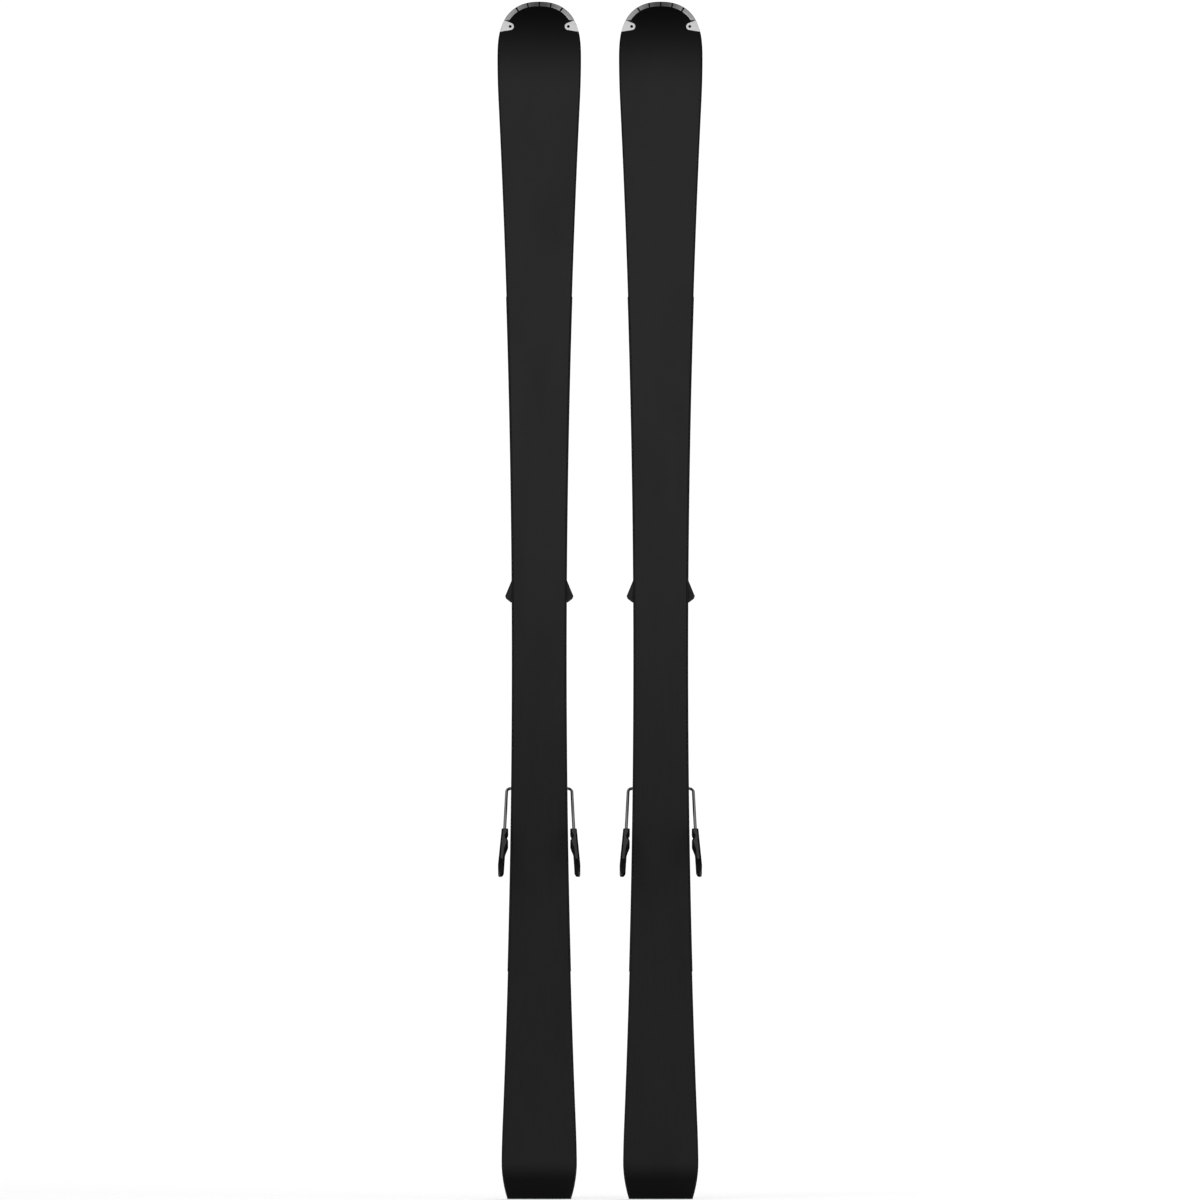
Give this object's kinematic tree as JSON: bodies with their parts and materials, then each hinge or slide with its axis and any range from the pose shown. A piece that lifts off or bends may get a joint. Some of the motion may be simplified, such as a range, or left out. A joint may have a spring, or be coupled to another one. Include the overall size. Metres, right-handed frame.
{
  "type": "alpine skis with bindings",
  "caption": "Pair of shaped alpine skis with rail-mounted step-in bindings and sprung brakes, standing upright on their tails.",
  "frame": {"origin": "on the floor under the middle of the pair", "axes": "+Z from tails to tips, +Y from running bases to bindings, X across the skis"},
  "size_m": [0.2842, 0.1602, 1.66],
  "materials": {
    "running_base": "sintered polyethylene, fine structure",
    "edge_steel": "dark ground steel",
    "core": "laminated wood",
    "sidewall": "planed plastic",
    "top_sheet": "clear coated",
    "tip_metal": "satin",
    "lug_chrome": "polished",
    "plate": "moulded, fine grain",
    "binding_body": "moulded, fine grain",
    "binding_shell": "satin moulded",
    "jaw": "moulded",
    "lever": "satin moulded",
    "glide_pad": "smooth low-friction",
    "screw_steel": "zinc plated",
    "spring_steel": "bright drawn",
    "brake_steel": "bright plated",
    "brake_plastic": "moulded, fine grain"
  },
  "bodies": {
    "left_ski": {"left_base_sheet": "running_base", "left_core": "core", "left_top_sheet": "top_sheet", "left_tip_guard": "tip_metal", "left_outer_edge": "edge_steel", "left_inner_edge": "edge_steel", "left_outer_sidewall": "sidewall", "left_inner_sidewall": "sidewall", "left_outer_tip_lug": "lug_chrome", "left_inner_tip_lug": "lug_chrome", "left_binding_plate": "plate", "left_toe_base": "binding_body", "left_toe_housing": "binding_shell", "left_toe_spring": "spring_steel"},
    "left_glide_pad_body": {"left_glide_pad": "glide_pad"},
    "left_toe_screw_body": {"left_toe_screw": "screw_steel"},
    "left_outer_wing_body": {"left_outer_toe_wing": "jaw"},
    "left_inner_wing_body": {"left_inner_toe_wing": "jaw"},
    "left_heel_base_body": {"left_heel_carriage": "binding_body", "left_heel_pin": "screw_steel", "left_brake_base": "binding_body"},
    "left_heel_head_body": {"left_heel_housing": "binding_shell", "left_heel_cup": "jaw", "left_heel_spring": "spring_steel"},
    "left_heel_screw_body": {"left_heel_screw": "screw_steel"},
    "left_heel_lever_body": {"left_heel_lever": "lever"},
    "left_brake_body": {"left_brake_wire": "brake_steel", "left_brake_pedal": "brake_plastic", "left_outer_brake_pad": "brake_plastic", "left_inner_brake_pad": "brake_plastic"},
    "right_ski": {"right_base_sheet": "running_base", "right_core": "core", "right_top_sheet": "top_sheet", "right_tip_guard": "tip_metal", "right_inner_edge": "edge_steel", "right_outer_edge": "edge_steel", "right_inner_sidewall": "sidewall", "right_outer_sidewall": "sidewall", "right_inner_tip_lug": "lug_chrome", "right_outer_tip_lug": "lug_chrome", "right_binding_plate": "plate", "right_toe_base": "binding_body", "right_toe_housing": "binding_shell", "right_toe_spring": "spring_steel"},
    "right_glide_pad_body": {"right_glide_pad": "glide_pad"},
    "right_toe_screw_body": {"right_toe_screw": "screw_steel"},
    "right_inner_wing_body": {"right_inner_toe_wing": "jaw"},
    "right_outer_wing_body": {"right_outer_toe_wing": "jaw"},
    "right_heel_base_body": {"right_heel_carriage": "binding_body", "right_heel_pin": "screw_steel", "right_brake_base": "binding_body"},
    "right_heel_head_body": {"right_heel_housing": "binding_shell", "right_heel_cup": "jaw", "right_heel_spring": "spring_steel"},
    "right_heel_screw_body": {"right_heel_screw": "screw_steel"},
    "right_heel_lever_body": {"right_heel_lever": "lever"},
    "right_brake_body": {"right_brake_wire": "brake_steel", "right_brake_pedal": "brake_plastic", "right_inner_brake_pad": "brake_plastic", "right_outer_brake_pad": "brake_plastic"}
  },
  "joints": [
    {"name": "left_outer_wing_release", "type": "hinge", "parent": "left_ski", "child": "left_outer_wing_body", "pos_m": [-0.1052, 0.02425, 0.88], "axis": [0, 1, 0], "range_deg": [0, 30], "stiffness_Nm_per_rad": 4, "springref_deg": -17.19},
    {"name": "left_inner_wing_release", "type": "hinge", "parent": "left_ski", "child": "left_inner_wing_body", "pos_m": [-0.0632, 0.02425, 0.88], "axis": [0, -1, 0], "range_deg": [0, 30], "stiffness_Nm_per_rad": 4, "springref_deg": -17.19},
    {"name": "left_glide_pad_slide", "type": "slide", "parent": "left_ski", "child": "left_glide_pad_body", "axis": [1, 0, 0], "range_m": [-0.006, 0.006], "stiffness_N_per_m": 500},
    {"name": "left_toe_screw_turn", "type": "hinge", "parent": "left_ski", "child": "left_toe_screw_body", "pos_m": [-0.0842, 0.02725, 0.945], "axis": [0, 0, 1], "range_deg": [-1260, 1260]},
    {"name": "left_heel_length_slide", "type": "slide", "parent": "left_ski", "child": "left_heel_base_body", "axis": [0, 0, 1], "range_m": [-0.02, 0.02]},
    {"name": "left_heel_close", "type": "hinge", "parent": "left_heel_base_body", "child": "left_heel_head_body", "pos_m": [-0.0842, 0.01425, 0.512], "axis": [1, 0, 0], "range_deg": [0, 30]},
    {"name": "left_heel_lever_turn", "type": "hinge", "parent": "left_heel_head_body", "child": "left_heel_lever_body", "pos_m": [-0.0842, 0.04578, 0.46262], "axis": [1, 0, 0], "range_deg": [0, 15]},
    {"name": "left_heel_screw_turn", "type": "hinge", "parent": "left_heel_head_body", "child": "left_heel_screw_body", "pos_m": [-0.0842, 0.0195, 0.46509], "axis": [0, 0.5, 0.866], "range_deg": [-1260, 1260]},
    {"name": "left_brake_swing", "type": "hinge", "parent": "left_heel_base_body", "child": "left_brake_body", "pos_m": [-0.0842, 0.01125, 0.5688], "axis": [1, 0, 0], "range_deg": [0, 35], "stiffness_Nm_per_rad": 1.5, "springref_deg": -57.3},
    {"name": "right_inner_wing_release", "type": "hinge", "parent": "right_ski", "child": "right_inner_wing_body", "pos_m": [0.0632, 0.02425, 0.88], "axis": [0, 1, 0], "range_deg": [0, 30], "stiffness_Nm_per_rad": 4, "springref_deg": -17.19},
    {"name": "right_outer_wing_release", "type": "hinge", "parent": "right_ski", "child": "right_outer_wing_body", "pos_m": [0.1052, 0.02425, 0.88], "axis": [0, -1, 0], "range_deg": [0, 30], "stiffness_Nm_per_rad": 4, "springref_deg": -17.19},
    {"name": "right_glide_pad_slide", "type": "slide", "parent": "right_ski", "child": "right_glide_pad_body", "axis": [1, 0, 0], "range_m": [-0.006, 0.006], "stiffness_N_per_m": 500},
    {"name": "right_toe_screw_turn", "type": "hinge", "parent": "right_ski", "child": "right_toe_screw_body", "pos_m": [0.0842, 0.02725, 0.945], "axis": [0, 0, 1], "range_deg": [-1260, 1260]},
    {"name": "right_heel_length_slide", "type": "slide", "parent": "right_ski", "child": "right_heel_base_body", "axis": [0, 0, 1], "range_m": [-0.02, 0.02]},
    {"name": "right_heel_close", "type": "hinge", "parent": "right_heel_base_body", "child": "right_heel_head_body", "pos_m": [0.0842, 0.01425, 0.512], "axis": [1, 0, 0], "range_deg": [0, 30]},
    {"name": "right_heel_lever_turn", "type": "hinge", "parent": "right_heel_head_body", "child": "right_heel_lever_body", "pos_m": [0.0842, 0.04578, 0.46262], "axis": [1, 0, 0], "range_deg": [0, 15]},
    {"name": "right_heel_screw_turn", "type": "hinge", "parent": "right_heel_head_body", "child": "right_heel_screw_body", "pos_m": [0.0842, 0.0195, 0.46509], "axis": [0, 0.5, 0.866], "range_deg": [-1260, 1260]},
    {"name": "right_brake_swing", "type": "hinge", "parent": "right_heel_base_body", "child": "right_brake_body", "pos_m": [0.0842, 0.01125, 0.5688], "axis": [1, 0, 0], "range_deg": [0, 35], "stiffness_Nm_per_rad": 1.5, "springref_deg": -57.3},
    {"name": "right_ski_lift", "type": "slide", "parent": "left_ski", "child": "right_ski", "axis": [0, 0, 1], "range_m": [0, 0.3]}
  ],
  "couplings": [
    {"joint": "left_heel_lever_turn", "follows": "left_heel_close", "ratio": 0.5},
    {"joint": "right_heel_lever_turn", "follows": "right_heel_close", "ratio": 0.5}
  ]
}
